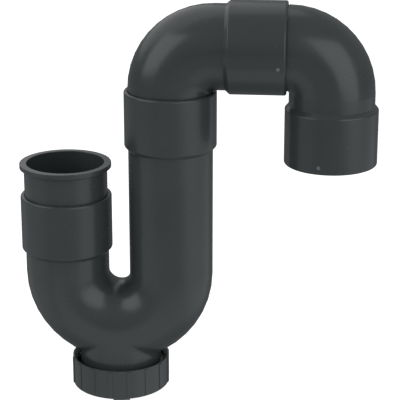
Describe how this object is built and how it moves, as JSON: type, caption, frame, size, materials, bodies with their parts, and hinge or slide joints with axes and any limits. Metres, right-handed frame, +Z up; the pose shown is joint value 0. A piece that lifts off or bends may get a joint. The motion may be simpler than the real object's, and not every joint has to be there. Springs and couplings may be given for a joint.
{
  "type": "waste trap",
  "caption": "Solvent-weld waste trap with a sealed inlet, a U-bend, two swivelling bends and a screw-off cleanout cap under the bend.",
  "frame": {"origin": "centre of the inlet seal's upper lip, on the inlet axis", "axes": "+Z up the inlet axis, towards the tail pipe; +X from the inlet leg to the outlet leg and the outlet"},
  "size_m": [0.1711, 0.0484, 0.2015],
  "materials": {
    "body_pvc": "satin",
    "elbow_pvc": "satin",
    "cap_pvc": "satin",
    "seal_rubber": "matte"
  },
  "bodies": {
    "trap": {"trap_body": "body_pvc", "inlet_sleeve": "body_pvc", "inlet_seal": "seal_rubber"},
    "upper_bend": {"upper_elbow": "elbow_pvc"},
    "outlet_bend": {"outlet_elbow": "elbow_pvc"},
    "gasket": {"cap_gasket": "seal_rubber"},
    "cap": {"cleanout_cap": "cap_pvc"}
  },
  "joints": [
    {"name": "upper_swivel", "type": "hinge", "parent": "trap", "child": "upper_bend", "pos_m": [0.051, 0, 0.0368], "axis": [0, 0, 1], "continuous": true},
    {"name": "outlet_swivel", "type": "hinge", "parent": "upper_bend", "child": "outlet_bend", "pos_m": [0.0928, 0, 0.071], "axis": [1, 0, 0], "continuous": true},
    {"name": "cap_travel", "type": "slide", "parent": "trap", "child": "gasket", "axis": [0, 0, -1], "range_m": [0, 0.009]},
    {"name": "cap_screw", "type": "hinge", "parent": "gasket", "child": "cap", "pos_m": [0.0255, 0, -0.093], "axis": [0, 0, -1], "range_deg": [0, 1080]}
  ],
  "couplings": [
    {"joint": "cap_travel", "follows": "cap_screw", "m_per_rad": 0.00047746}
  ]
}
